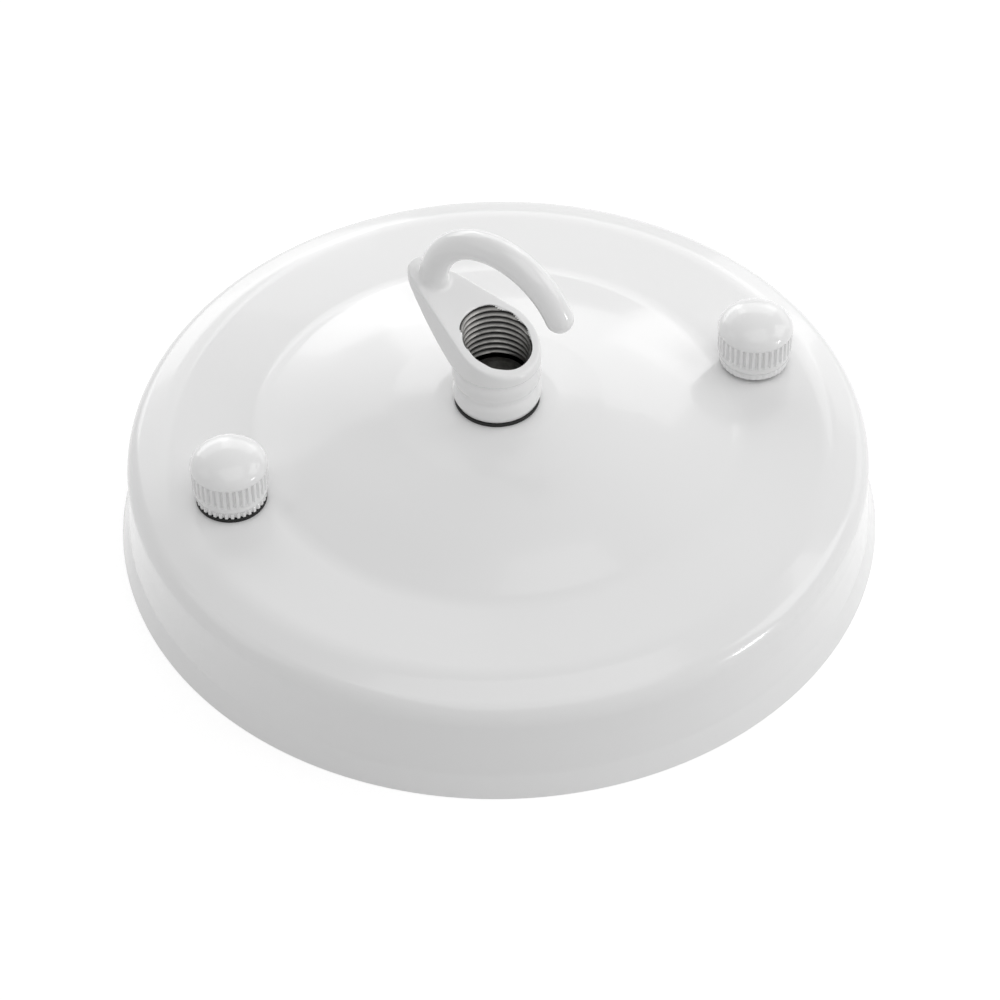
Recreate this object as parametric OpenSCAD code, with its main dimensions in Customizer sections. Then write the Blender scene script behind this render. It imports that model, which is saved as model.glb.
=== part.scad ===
// Ceiling canopy for a hanging lamp: a pressed steel cover with a screwed-on cable hook,
// held to a mounting strap by two studs and two domed thumb nuts.
// The ceiling is the plane z = 0, the thumb nuts lie on the X axis and the hook points up.

/* [Cover] */
// Diameter over the flared rim
rim_d = 108; // [104:1:118]
// Height of the flat band that carries the thumb nuts
band_h = 16.6; // [15.6:0.2:20]
// Height of the dome's top above the flat band
dome_h = 5.8; // [4.6:0.2:7]
// Thickness of the pressed sheet
sheet = 0.7; // [0.5:0.1:0.9]
// How far the rim stands out past the shoulder
rim_flare = 1.4; // [0.9:0.1:2.4]
// Height of the rim's flare
flare_h = 3; // [2.5:0.1:4]
// Rounding of the shoulder
shoulder_round = 4.8; // [3.5:0.1:5.2]
// Width of the sloping edge between the flat band and the shoulder
shoulder_w = 7.6; // [7:0.1:8.4]
// How far that sloping edge falls
shoulder_fall = 1.2; // [0.6:0.1:1.6]
// Height of the crease under the shoulder
crease_h = 9.6; // [8.8:0.1:9.8]
// Depth of the crease under the shoulder
crease_depth = 0.65; // [0.3:0.05:0.9]
// Distance from the rim in to the flat band's inner edge
band_w = 18; // [17.5:0.1:19]
// Distance from there to the bottom of the valley round the dome
valley_w = 2.6; // [2.2:0.1:3.2]
// Depth of the shallow valley below the flat band
valley_depth = 0.25; // [0.1:0.05:0.8]
// Radius at which the dome's flank bends, as a share of the valley's radius
flank_share = 0.728; // [0.7:0.002:0.78]
// Fall from the dome's top to that bend
flank_fall = 2.8; // [2.4:0.1:3.2]
// Radius of the dome's inner ring, as a share of the bend's radius
ring_share = 0.618; // [0.58:0.002:0.66]
// Fall from the dome's top to the inner ring
ring_fall = 0.85; // [0.6:0.05:1.1]
// Diameter of the flat seat under the hook
seat_d = 17; // [16.5:0.5:19]

/* [Hook] */
// Turn of the hook from the line through the thumb nuts, in degrees
hook_turn = 121; // [0:1:359]
// Outer diameter of the hook's boss
boss_d = 12.4; // [12:0.1:13.4]
// Height of the boss below the slanted mouth's throat
boss_h = 6.8; // [6.2:0.1:7.2]
// Depth of the shallow grooves between the bands of the boss
groove_depth = 0.22; // [0.1:0.02:0.35]
// Height at which the slanted mouth crosses the boss's axis, above its base
mouth_h = 10.95; // [10.6:0.05:11.4]
// Slope of the slanted mouth, in degrees
mouth_slope = 23.5; // [22:0.1:25.5]
// Distance from the boss's axis to the tip of the tongue
tongue_l = 14.8; // [14.4:0.1:15.6]
// Radius of the tongue's tip
tongue_r = 2.7; // [2.4:0.05:3]
// Radius of the hook's bow, to the middle of the bar
bow_r = 11.8; // [11.3:0.1:12.3]
// Offset of the bow's centre from the boss's axis, away from the tongue
bow_back = 0.7; // [0.4:0.1:1]
// Height of the bow's centre above the boss's base
bow_h = 14.7; // [14.4:0.1:15.1]
// Sweep of the bow from its root to the middle of its round tip, in degrees
bow_sweep = 151; // [138:1:160]
// Diameter of the bar where it leaves the tongue
bar_root_d = 4.1; // [3.8:0.1:4.2]
// Diameter of the bar at the top of the bow
bar_top_d = 4.2; // [4:0.1:4.8]
// Diameter of the bar at its tip
bar_tip_d = 3.9; // [3.2:0.1:4]

/* [Thread in the hook and hollow nipple] */
// Nominal diameter of the fine thread
thread_d = 10; // [9.6:0.1:10.2]
// Pitch of the fine thread
thread_pitch = 1; // [0.75:0.25:1.25]
// Length of the hollow nipple
nipple_l = 12; // [11:0.5:14]
// Length of the nipple inside the hook's boss
nipple_in = 3.2; // [3:0.1:4.5]
// Bore of the hollow nipple
nipple_bore_d = 7.2; // [6:0.1:7.6]
// Width of the nipple's lock nut across its flats
locknut_af = 14; // [13:0.5:15]
// Thickness of the nipple's lock nut
locknut_t = 2.5; // [2:0.1:3]
// Outer diameter of the plain washer under that nut
nipple_washer_d = 15; // [14:0.5:15.5]
// Thickness of that plain washer
nipple_washer_t = 0.8; // [0.5:0.1:1.2]
// Outer diameter of the black washer under the hook
hook_washer_d = 11.9; // [11.4:0.1:12]
// Thickness of the black washers
fibre_t = 0.5; // [0.3:0.1:0.8]

/* [Thumb nuts] */
// Distance from the rim in to the middle of a thumb nut
stud_inset = 15; // [14.5:0.1:15.5]
// Diameter over the knurled band
knurl_d = 10.7; // [10.2:0.1:11.2]
// Depth of the knurl's grooves
knurl_depth = 0.35; // [0.2:0.05:0.5]
// Number of knurl ribs
knurl_ribs = 36; // [30:2:40]
// Height of the knurled band's lower edge
knurl_z = 2.4; // [2.2:0.1:2.8]
// Height of the knurled band
knurl_h = 3.3; // [2.8:0.1:3.6]
// Height of the whole thumb nut
nut_h = 8.6; // [8.2:0.1:9.2]
// Diameter of the thumb nut's foot ring
foot_d = 9.8; // [9.4:0.1:10]
// Height of the foot ring
foot_h = 1.1; // [1:0.1:1.4]
// Depth of the tapped hole in the thumb nut
nut_hole_depth = 6.3; // [6.1:0.1:6.5]
// Outer diameter of the black washer under the thumb nut
nut_washer_d = 8.2; // [7.6:0.1:8.8]

/* [Strap and studs] */
// Thickness of the strap
strap_t = 1.5; // [1.2:0.1:1.8]
// Width of the strap
strap_w = 16; // [14:0.5:20]
// Length of the strap past the middle of each stud
strap_end = 8; // [6:0.5:8.5]
// Height by which the strap's ends stand off the ceiling
strap_raise = 3; // [2.8:0.1:3.4]
// Distance from a stud in to where the strap bends down to the ceiling
strap_in = 16; // [15.5:0.1:17]
// Length of the bend between the middle part and a raised end
strap_ramp = 4; // [3.5:0.1:4.5]
// Diameter of the cable hole in the strap's middle
strap_hole_d = 10.5; // [8:0.5:11]
// Distance from that bend in to the middle of a ceiling screw slot
slot_in = 8.5; // [8:0.1:9]
// Length of a ceiling screw slot, end to end
slot_l = 12; // [9:0.5:12.5]
// Width of a ceiling screw slot
slot_w = 4.6; // [4:0.1:5.2]
// Diameter of the studs
stud_d = 4; // [3.8:0.1:4.2]
// Gap between a stud's tip and the bottom of the hole in its thumb nut
stud_tip_gap = 0.45; // [0.3:0.05:1]
// Diameter of a stud's pan head
stud_head_d = 8; // [7.4:0.1:8.4]
// Height of a stud's pan head
stud_head_h = 2.5; // [2.2:0.1:2.6]
// Width of a stud's nut across its flats
stud_nut_af = 7; // [6.8:0.1:7.4]
// Thickness of a stud's nut
stud_nut_t = 3.2; // [2.6:0.1:3.4]
// Outer diameter of a stud's spring washer
spring_d = 7; // [6.6:0.1:7.4]
// Thickness of a spring washer
spring_t = 0.9; // [0.7:0.1:1]

/* [Earth screw] */
// Distance of the earth screw from the stud
earth_offset = 7.8; // [7.6:0.1:8]
// Diameter of the earth screw
earth_d = 3.5; // [3:0.1:3.6]
// Length of the earth screw under its head
earth_l = 4.5; // [4:0.1:4.9]
// Diameter of the earth screw's head
earth_head_d = 5.6; // [5.2:0.1:5.8]
// Height of the earth screw's head
earth_head_h = 2; // [1.6:0.1:2.4]
// Outer diameter of the earth screw's cup washer
earth_washer_d = 6.4; // [6.2:0.1:6.6]
// Thickness of the cup washer
earth_washer_t = 0.8; // [0.6:0.1:1]

/* [Clearances] */
// Radial play of a nut on its stud and of the earth screw in the strap
thread_play = 0.05; // [0.02:0.01:0.08]
// Radial play of a fine thread inside its mate
fine_play = 0.03; // [0.02:0.01:0.05]
// Radial play of a washer or a sheet hole round what passes through it
hole_play = 0.25; // [0.15:0.05:0.3]
// Gap that keeps a thumb nut just clear of its washer
turn_gap = 0.05; // [0.02:0.01:0.1]

/* [Hidden] */
$fn = 96;

// Small overlap that lets a cut run clean through a face
cut = 1;
// Turn of one straight piece of a rounded bend, in degrees
bend_step = 7;
// Sides of the lofted tongue and of the swept bar
loft_sides = 48;
bar_sides = 20;
// Roundings of the pressed cover, from its top outwards
seat_round = 8;
flank_round = 70;
valley_round = 3.5;
band_round = 8;
slope_round = 20;
crease_round = 1;
flare_round = 8;
// Height under which the inside of the rim runs straight to its foot
foot_z = 0.4;
// Bend radius of the strap's lower side
strap_bend = 1.5;
// How far the knurl's ribs stand back from the dome's foot
rib_inset = 0.08;
// Turn along the bow at which the bar is thickest, and the turns between two of its rings
thick_turn = 70;
bar_step = 6;

rim_r = rim_d / 2;
shoulder_r = rim_r - rim_flare;
seat_z = band_h + dome_h;
hook_z = seat_z + fibre_t;
mouth_z = hook_z + mouth_h;
boss_r = boss_d / 2;
throat_z = hook_z + boss_h;
// A thread is modelled plain, at its pitch diameter
thread_r = (thread_d - 0.6495 * thread_pitch) / 2;
nipple_r = thread_r - fine_play;
nipple_top = hook_z + nipple_in;
nipple_z = nipple_top - nipple_l;
nipple_washer_z = seat_z - sheet - nipple_washer_t;
stud_r = stud_d / 2;
stud_x = rim_r - stud_inset;
band_r = rim_r - band_w;
valley_r = band_r - valley_w;
flank_r = flank_share * valley_r;
strap_top = strap_raise + strap_t;
strap_half = stud_x + strap_end;
strap_flat = stud_x - strap_in;
slot_x = strap_flat - slot_in;
nut_z = band_h + fibre_t + turn_gap;
stud_l = nut_z + nut_hole_depth - stud_tip_gap - strap_raise;
earth_x = stud_x - earth_offset;

// Unit vector from one point to the next
function dir(p, q) = (q - p) / norm(q - p);

// A bend of radius r that rounds the corner q between p and s
function bend(p, q, s, r) =
    let (a = dir(q, p), b = dir(q, s), half = acos(max(-1, min(1, a * b))) / 2)
    (r <= 0 || half > 89.9) ? [q] :
    let (turn = 180 - 2 * half,
         room = 0.49 * min(norm(p - q), norm(s - q)),
         reach = min(r * tan(turn / 2), room),
         rr = reach / tan(turn / 2),
         mid = q + dir([0, 0], a + b) * rr / sin(half),
         n = max(2, ceil(turn / bend_step)),
         u = dir(mid, q + a * reach),
         v = dir(mid, q + b * reach),
         side = (u.x * v.y - u.y * v.x) > 0 ? 1 : -1)
    [for (i = [0:n]) let (t = side * turn * i / n)
        mid + rr * [u.x * cos(t) - u.y * sin(t), u.x * sin(t) + u.y * cos(t)]];

// A path of [x, y, radius] corners with every inner corner rounded
function rounded(c) = [for (i = [0:len(c) - 1])
    each (i == 0 || i == len(c) - 1) ? [[c[i].x, c[i].y]] :
        bend([c[i - 1].x, c[i - 1].y], [c[i].x, c[i].y], [c[i + 1].x, c[i + 1].y], c[i].z)];

// The path moved sideways by d, to its right-hand side
function beside(p, d) = [for (i = [0:len(p) - 1])
    let (t = dir(p[max(i - 1, 0)], p[min(i + 1, len(p) - 1)])) p[i] + d * [t.y, -t.x]];

function reversed(p) = [for (i = [len(p) - 1:-1:0]) p[i]];

// Flat ring with a plain bore
module ring(d, bore_r, t) {
    difference() {
        cylinder(d = d, h = t);
        translate([0, 0, -cut]) cylinder(r = bore_r, h = t + 2 * cut);
    }
}

// Hexagon nut with both faces chamfered and a plain bore
module hex_nut(af, t, bore_r) {
    corner = af / sqrt(3);
    chamfer = (corner - af / 2) * tan(30);
    difference() {
        intersection() {
            cylinder(r = corner, h = t, $fn = 6);
            rotate_extrude() polygon([[0, 0], [af / 2, 0], [corner, chamfer],
                [corner, t - chamfer], [af / 2, t], [0, t]]);
        }
        translate([0, 0, -cut]) cylinder(r = bore_r, h = t + 2 * cut);
    }
}

// The cover's outer line, from the middle of its top to the edge of its rim
cover_line = rounded([
    [0, seat_z, 0],
    [seat_d / 2, seat_z, seat_round],
    [ring_share * flank_r, seat_z - ring_fall, seat_round],
    [flank_r, seat_z - flank_fall, flank_round],
    [valley_r, band_h - valley_depth, valley_round],
    [band_r, band_h, band_round],
    [shoulder_r - shoulder_w, band_h, slope_round],
    [shoulder_r, band_h - shoulder_fall, shoulder_round],
    [shoulder_r, crease_h + crease_depth, crease_round],
    [shoulder_r - crease_depth, crease_h, crease_round],
    [shoulder_r - crease_depth / 3, flare_h, flare_round],
    [rim_r, 0, 0]]);

module canopy_cover() {
    inside = beside(cover_line, sheet);
    last = cover_line[len(cover_line) - 2];
    lean = dir(last, [rim_r, 0]);
    color("white") difference() {
        rotate_extrude($fn = 180) polygon(concat(
            cover_line,
            [[rim_r + sheet / lean.y, 0]],
            [for (p = reversed(inside)) if (p.y > foot_z) [max(p.x, 0), p.y]]));
        translate([0, 0, seat_z - sheet - cut])
            cylinder(r = thread_d / 2 + hole_play, h = sheet + 2 * cut);
        for (side = [-1, 1]) translate([side * stud_x, 0, band_h - sheet - cut])
            cylinder(r = stud_r + hole_play, h = sheet + 2 * cut);
    }
}

// Height of the slanted mouth over a point at distance s towards the tongue
function mouth_at(s) = mouth_z + s * tan(mouth_slope);

// Outline point of the tongue in plan: a boss circle and a tip circle with tangent sides.
// a is the direction that the side faces, grow runs from the round boss (0) to the full tongue (1)
function tongue_point(a, grow, inset) =
    let (tip_r = boss_r + (tongue_r - boss_r) * grow,
         tip_s = (tongue_l - tongue_r) * grow,
         on_tip = grow > 0 && cos(a) > (boss_r - tip_r) / max(tip_s, 0.001),
         r = (on_tip ? tip_r : boss_r) - inset)
    [(on_tip ? tip_s : 0) + r * cos(a), r * sin(a)];

// One ring of the lofted tongue: lift runs from the throat (0) to the mouth (1)
function tongue_ring(lift, grow, inset, drop) = [for (i = [0:loft_sides - 1])
    let (p = tongue_point(360 * (i + 0.5) / loft_sides, grow, inset))
    [p.x, p.y, throat_z + (mouth_at(p.x) - drop - throat_z) * lift]];

// Skin of a stack of rings with equal numbers of points, closed at both ends
module lofted(rings) {
    n = len(rings[0]);
    m = len(rings);
    polyhedron(
        points = [for (r = rings) each r],
        faces = concat(
            [[for (i = [0:n - 1]) i]],
            [[for (i = [n - 1:-1:0]) (m - 1) * n + i]],
            [for (k = [0:m - 2]) for (i = [0:n - 1])
                let (j = (i + 1) % n)
                each [[k * n + j, k * n + i, (k + 1) * n + i],
                      [k * n + j, (k + 1) * n + i, (k + 1) * n + j]]]));
}

// Boss and tongue in one loft: level rings for the two soft bands, then rings that lean out
module boss_and_tongue() {
    bands = 2;
    steps = 4;
    tongue_steps = [0.2, 0.36, 0.52, 0.68, 0.84];
    edge = 0.3;
    lofted(concat(
        [for (k = [0:bands * steps])
            let (inset = groove_depth * pow(cos(180 * k / steps), 2))
            [for (p = tongue_ring(0, 0, inset, 0)) [p.x, p.y, hook_z + boss_h * k / (bands * steps)]]],
        [for (u = tongue_steps) tongue_ring(u, u / max(tongue_steps), 0, edge)],
        [tongue_ring(1, 1, 0, edge)],
        [tongue_ring(1, 1, edge, 0)]));
}

// Radius of the bar at a turn along the bow
function bar_r(turn) = (turn < thick_turn
    ? bar_root_d + (bar_top_d - bar_root_d) * (1 - cos(turn * 180 / thick_turn)) / 2
    : bar_top_d + (bar_tip_d - bar_top_d)
        * (1 - cos((turn - thick_turn) * 180 / (bow_sweep - thick_turn))) / 2) / 2;

// One ring round the bar: on along the bow past the given turn, with radius r
function bar_ring(turn, r, on) = [for (i = [0:bar_sides - 1])
    let (a = 360 * i / bar_sides, reach = bow_r + r * cos(a))
    [-bow_back + reach * cos(turn) - on * sin(turn), r * sin(a),
     hook_z + bow_h + reach * sin(turn) + on * cos(turn)]];

// The bar grows out of the tongue from a small ring that is sunk into it
module bow() {
    root_turn = -3;
    root_r = bar_root_d * 0.38;
    lofted(concat(
        [bar_ring(root_turn, root_r, 0)],
        [for (turn = [4:bar_step:bow_sweep - bar_step / 2]) bar_ring(turn, bar_r(turn), 0)],
        [for (a = [0:22:88]) bar_ring(bow_sweep, bar_tip_d / 2 * cos(a), bar_tip_d / 2 * sin(a))]));
}

module cable_hook() {
    color("white") difference() {
        rotate([0, 0, hook_turn]) union() {
            boss_and_tongue();
            bow();
        }
        translate([0, 0, hook_z - cut]) cylinder(r = thread_r, h = mouth_h + boss_r);
    }
}

module hook_washer() {
    color("black") translate([0, 0, seat_z]) ring(hook_washer_d, thread_d / 2 + hole_play / 2, fibre_t);
}

module hook_nipple() {
    color("silver") translate([0, 0, nipple_z]) ring(2 * nipple_r, nipple_bore_d / 2, nipple_l);
}

module nipple_washer() {
    color("silver") translate([0, 0, nipple_washer_z])
        ring(nipple_washer_d, thread_d / 2 + hole_play / 2, nipple_washer_t);
}

module nipple_locknut() {
    color("silver") translate([0, 0, nipple_washer_z - locknut_t])
        hex_nut(locknut_af, locknut_t, thread_r);
}

// The strap's lower line from its middle to one end
strap_line = rounded([
    [0, 0, 0],
    [strap_flat, 0, strap_bend],
    [strap_flat + strap_ramp, strap_raise, strap_bend],
    [strap_half + cut, strap_raise, 0]]);

module mounting_strap() {
    upper = beside(strap_line, -strap_t);
    color("silver") difference() {
        intersection() {
            translate([0, strap_w / 2, 0]) rotate([90, 0, 0]) linear_extrude(strap_w)
                polygon(concat(strap_line, reversed(upper),
                    [for (p = upper) if (p.x > 0) [-p.x, p.y]],
                    [for (p = reversed(strap_line)) if (p.x > 0) [-p.x, p.y]]));
            translate([0, 0, -cut]) cylinder(r = strap_half, h = strap_top + 2 * cut);
        }
        translate([0, 0, -cut]) cylinder(d = strap_hole_d, h = strap_t + 2 * cut);
        for (side = [-1, 1]) {
            translate([side * stud_x, 0, 0]) cylinder(r = stud_r + hole_play, h = strap_top + cut);
            for (end = [-1, 1])
                translate([side * slot_x + end * (slot_l - slot_w) / 2, 0, -cut])
                    cylinder(d = slot_w, h = strap_t + 2 * cut);
            translate([side * slot_x - (slot_l - slot_w) / 2, -slot_w / 2, -cut])
                cube([slot_l - slot_w, slot_w, strap_t + 2 * cut]);
        }
        translate([-earth_x, 0, 0]) cylinder(r = earth_d / 2 + thread_play, h = strap_top + cut);
    }
}

// Pan head screw with its head below z = 0, and a cross recess
module pan_screw(d, l, head_d, head_h) {
    tip = d / 10;
    edge = head_h / 3;
    difference() {
        rotate_extrude() polygon(concat(
            [[0, -head_h]],
            [for (a = [0:15:90]) [(head_d / 2 - edge) + edge * sin(a), -head_h + edge * (1 - cos(a))]],
            [[head_d / 2, 0], [d / 2, 0], [d / 2, l - tip], [d / 2 - tip, l], [0, l]]));
        for (turn = [0, 90]) rotate([0, 0, turn])
            translate([-head_d / 4, -head_d / 16, -head_h - cut])
                cube([head_d / 2, head_d / 8, head_h / 2 + cut]);
    }
}

module stud(side) {
    color("silver") translate([side * stud_x, 0, strap_raise])
        pan_screw(stud_d, stud_l, stud_head_d, stud_head_h);
}

// Split spring washer
module spring_washer(side) {
    gap = spring_t;
    split_turn = 40;
    color("silver") translate([side * stud_x, 0, strap_top]) difference() {
        ring(spring_d, stud_r + hole_play, spring_t);
        rotate([0, 0, split_turn]) translate([0, -gap / 2, -cut])
            cube([spring_d, gap, spring_t + 2 * cut]);
    }
}

module stud_nut(side) {
    color("silver") translate([side * stud_x, 0, strap_top + spring_t])
        hex_nut(stud_nut_af, stud_nut_t, stud_r + thread_play);
}

module nut_washer(side) {
    color("black") translate([side * stud_x, 0, band_h])
        ring(nut_washer_d, stud_r + hole_play, fibre_t);
}

// Domed thumb nut with a knurled band and a foot ring
module thumb_nut(side) {
    knurl_r = knurl_d / 2;
    rib_r = knurl_r - rib_inset;
    root_r = rib_r - knurl_depth;
    neck_r = root_r + knurl_depth / 3;
    foot_r = foot_d / 2;
    top_z = knurl_z + knurl_h;
    edge = 0.35;
    // Corners of one rib and the groove after it, as shares of the rib's step
    rib_corners = [0, 0.3, 0.5, 0.8];
    color("white") translate([side * stud_x, 0, nut_z]) difference() {
        union() {
            rotate_extrude() polygon(concat(
                [[0, 0], [foot_r - edge, 0], [foot_r, edge], [foot_r, foot_h - edge / 2],
                 [foot_r - edge / 2, foot_h], [neck_r - edge, foot_h + edge / 2],
                 [neck_r, foot_h + edge], [neck_r, knurl_z], [root_r - edge, knurl_z],
                 [root_r - edge, top_z]],
                [for (a = [0:6:84]) [knurl_r * cos(a), top_z + (nut_h - top_z) * sin(a)]],
                [[0, nut_h]]));
            translate([0, 0, knurl_z]) linear_extrude(knurl_h)
                polygon([for (i = [0:knurl_ribs - 1]) for (j = [0:3])
                    let (a = (i + rib_corners[j]) * 360 / knurl_ribs,
                         r = j < 2 ? rib_r : root_r)
                    r * [cos(a), sin(a)]]);
        }
        translate([0, 0, -cut]) cylinder(r = stud_r + thread_play, h = nut_hole_depth + cut);
    }
}

module earth_screw() {
    color("gold") translate([-earth_x, 0, strap_top + earth_washer_t]) mirror([0, 0, 1])
        pan_screw(earth_d, earth_l, earth_head_d, earth_head_h);
}

module earth_washer() {
    color("gold") translate([-earth_x, 0, strap_top])
        ring(earth_washer_d, earth_d / 2 + hole_play / 2, earth_washer_t);
}

canopy_cover();
cable_hook();
hook_washer();
hook_nipple();
nipple_washer();
nipple_locknut();
mounting_strap();
stud(-1);  // left_stud
stud(1);  // right_stud
spring_washer(-1);  // left_spring_washer
spring_washer(1);  // right_spring_washer
stud_nut(-1);  // left_stud_nut
stud_nut(1);  // right_stud_nut
nut_washer(-1);  // left_nut_washer
nut_washer(1);  // right_nut_washer
thumb_nut(-1);  // left_thumb_nut
thumb_nut(1);  // right_thumb_nut
earth_screw();
earth_washer();
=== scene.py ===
"""Looks of a ceiling canopy: gloss white enamel over pressed steel and a cast cable hook,
with zinc-plated steel, brass and black fibre inside. Sizes are in millimetres until a mesh is made."""

import math

import bmesh
import bpy
import numpy as np
from mathutils import Matrix, Vector


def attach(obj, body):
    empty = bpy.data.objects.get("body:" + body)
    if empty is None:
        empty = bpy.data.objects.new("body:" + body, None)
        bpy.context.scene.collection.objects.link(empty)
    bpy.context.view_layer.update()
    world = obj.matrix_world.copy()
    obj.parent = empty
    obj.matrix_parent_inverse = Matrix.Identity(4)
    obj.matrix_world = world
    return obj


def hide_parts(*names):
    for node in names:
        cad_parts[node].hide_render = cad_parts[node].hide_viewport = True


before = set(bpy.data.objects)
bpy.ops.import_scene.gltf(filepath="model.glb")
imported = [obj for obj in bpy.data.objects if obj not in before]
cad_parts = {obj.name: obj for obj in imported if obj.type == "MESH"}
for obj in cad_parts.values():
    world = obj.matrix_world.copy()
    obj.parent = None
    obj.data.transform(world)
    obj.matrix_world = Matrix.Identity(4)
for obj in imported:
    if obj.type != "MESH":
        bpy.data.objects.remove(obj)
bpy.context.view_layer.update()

MM = 0.001

# Camera, as the photograph was taken: distance to the rim's centre, height angle, turn and roll
CAMERA_DISTANCE = 500.0
CAMERA_ELEVATION = 45.42
CAMERA_AZIMUTH = -19.5
CAMERA_ROLL = 0.91
FOCAL_PIXELS = 3477.9
IMAGE_PIXELS = 1000
# Pixel of the photograph at which the rim's centre lies
RIM_CENTRE_PIXEL = (498.9, 510.6)
SENSOR_WIDTH = 36.0

# Pressed cover, from the hook's seat outwards: ring round the seat, dome, the fold at its foot, flat
# band, slope, wall and flared rim. The drops are taken from the seat's height.
RIM_R = 54.0
SHEET = 0.7
BAND_H = 16.6
SEAT_Z = 22.4
SEAT_R = 8.5
RING_R = 15
RING_DROP = 0.85
DOME_R = 24.3
DOME_DROP = 2.8
DOME_BEND = 70
FOLD_R = 33.8
SLOPE_R = 46.5
SHOULDER_R = 52.2
SHOULDER_H = 14.5
WALL_R = 52.36
WALL_H = 9.0
FLARE_R = 52.8
FLARE_H = 3.6
# Degrees of each bend that one facet of the outline takes
COVER_STEP = 2.5
COVER_SEGMENTS = 240
RIM_EDGE = 0.2
# Lowest point of the inner wall, above the soft edge of the rim
RIM_INSIDE_H = 0.4

# Cast hook
HOOK_Z = 22.9
HOOK_TURN = 121.0
BOSS_R = 6.2
BOSS_H = 6.8
GROOVE_DEPTH = 0.42
MOUTH_Z = HOOK_Z + 10.95
MOUTH_SLOPE = math.radians(23.5)
TONGUE_L = 14.8
TONGUE_R = 2.7
MOUTH_EDGE = 0.3
BOW_R = 11.8
BOW_BACK = 0.7
BOW_Z = HOOK_Z + 14.7
BOW_SWEEP = 151.0
BAR_ROOT_D = 4.1
BAR_TOP_D = 4.2
BAR_TIP_D = 3.9
# Turn along the bow, in degrees, at which the bar is thickest
BAR_TOP_TURN = 70
BOSS_RINGS = 24
# Share of the tongue's height at which it has reached its full length
TONGUE_FULL = 0.84
HOOK_VOXEL = 0.2
# Reach of the soft blend between tongue and bow
ROOT_BLEND_R = 3.6

# Fine lamp thread and metric stud thread
THREAD_D = 10.0
THREAD_PITCH = 1.0
THREAD_R = (THREAD_D - 0.6495 * THREAD_PITCH) / 2
STUD_R = 2.0
STUD_PITCH = 0.7
CENTRE_HOLE_R = THREAD_D / 2 + 0.25
STUD_HOLE_R = STUD_R + 0.25

# Domed thumb nuts
STUD_X = 39.0
NUT_Z = BAND_H + 0.55
NUT_H = 8.6
KNURL_R = 5.35
KNURL_DEPTH = 0.42
KNURL_RIBS = 36
KNURL_Z = 2.4
KNURL_H = 3.3
FOOT_R = 4.9
FOOT_H = 1.1
# Depth of the foot's teeth: thick paint fills those of the right nut
LEFT_TEETH = 0.3
RIGHT_TEETH = 0.05
# Radius of the left nut's black fibre washer, wider than the CAD's, so that its black edge paints the
# shade of the gap under the nut's foot
WASHER_SHADE_EDGE_R = 4.9
NUT_HOLE_R = 2.05
NUT_HOLE_DEPTH = 6.3

# Strap, studs, earth screw and hollow nipple
STRAP_RAISE = 3.0
STRAP_TOP = 4.5
STUD_L = 20.0
STUD_HEAD_R = 4.0
STUD_HEAD_H = 2.5
EARTH_X = STUD_X - 7.8
EARTH_R = 1.75
EARTH_PITCH = 0.6
EARTH_L = 4.5
EARTH_HEAD_R = 2.8
EARTH_HEAD_H = 2.0
EARTH_WASHER_H = 0.8
NIPPLE_TOP = HOOK_Z + 3.2
NIPPLE_Z = NIPPLE_TOP - 12
NIPPLE_BORE_R = 3.6
BORE_THREAD_DEPTH = 0.5
# Width of the bore's outermost edge that the enamel covers
ENAMEL_LIP = 0.2

# Light of the surroundings and of the floor, half the floor's width, then each lamp: azimuth from the
# camera, height angle, distance, width and height in metres, and power in watts
WORLD_LIGHT = 0.41
FLOOR_GLOW = 0.7
FLOOR_HALF = 3000
LAMPS = {
    "window": (207, 26, 1.0, 0.66, 0.56, 1.0),
    "back_box": (172, 28, 1.0, 0.7, 0.5, 1.25),
    "low_strip_left": (205, 12, 1.0, 0.7, 0.3, 0.8),
    "low_strip_right": (140, 16, 1.0, 0.9, 0.4, 0.75),
    "right_box": (100, 38, 1.0, 0.6, 0.5, 1.5),
    "top_box": (20, 75, 1.1, 0.9, 0.9, 2.3),
    "left_box": (275, 35, 1.0, 0.5, 0.5, 0.4),
    "small_lamp": (68, 13, 0.9, 0.17, 0.1, 0.8),
}


def linear(hex_colour):
    """sRGB hex to the linear colour that a shader wants."""
    parts = [int(hex_colour[i:i + 2], 16) / 255 for i in (1, 3, 5)]
    return [c / 12.92 if c <= 0.04045 else ((c + 0.055) / 1.055) ** 2.4 for c in parts] + [1.0]


def add(tree, kind, settings=None, inputs=None):
    """One node with its settings and inputs; an input is a value or another node's socket."""
    made = tree.nodes.new(kind)
    for key, value in (settings or {}).items():
        setattr(made, key, value)
    for key, value in (inputs or {}).items():
        socket = made.inputs[key]
        if isinstance(value, bpy.types.NodeSocket):
            tree.links.new(value, socket)
        else:
            socket.default_value = value
    return made


def finish_material(name, colour, metallic, roughness, build=None, coat=0.0):
    """A Principled material whose build function links the fine structure of the surface."""
    material = bpy.data.materials.new(name)
    material.use_nodes = True
    tree = material.node_tree
    shader = tree.nodes["Principled BSDF"]
    shader.inputs["Base Color"].default_value = linear(colour)
    shader.inputs["Metallic"].default_value = metallic
    shader.inputs["Roughness"].default_value = roughness
    shader.inputs["Coat Weight"].default_value = coat
    if build:
        build(tree, shader, add(tree, "ShaderNodeTexCoord").outputs["Object"])
    return material


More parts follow.
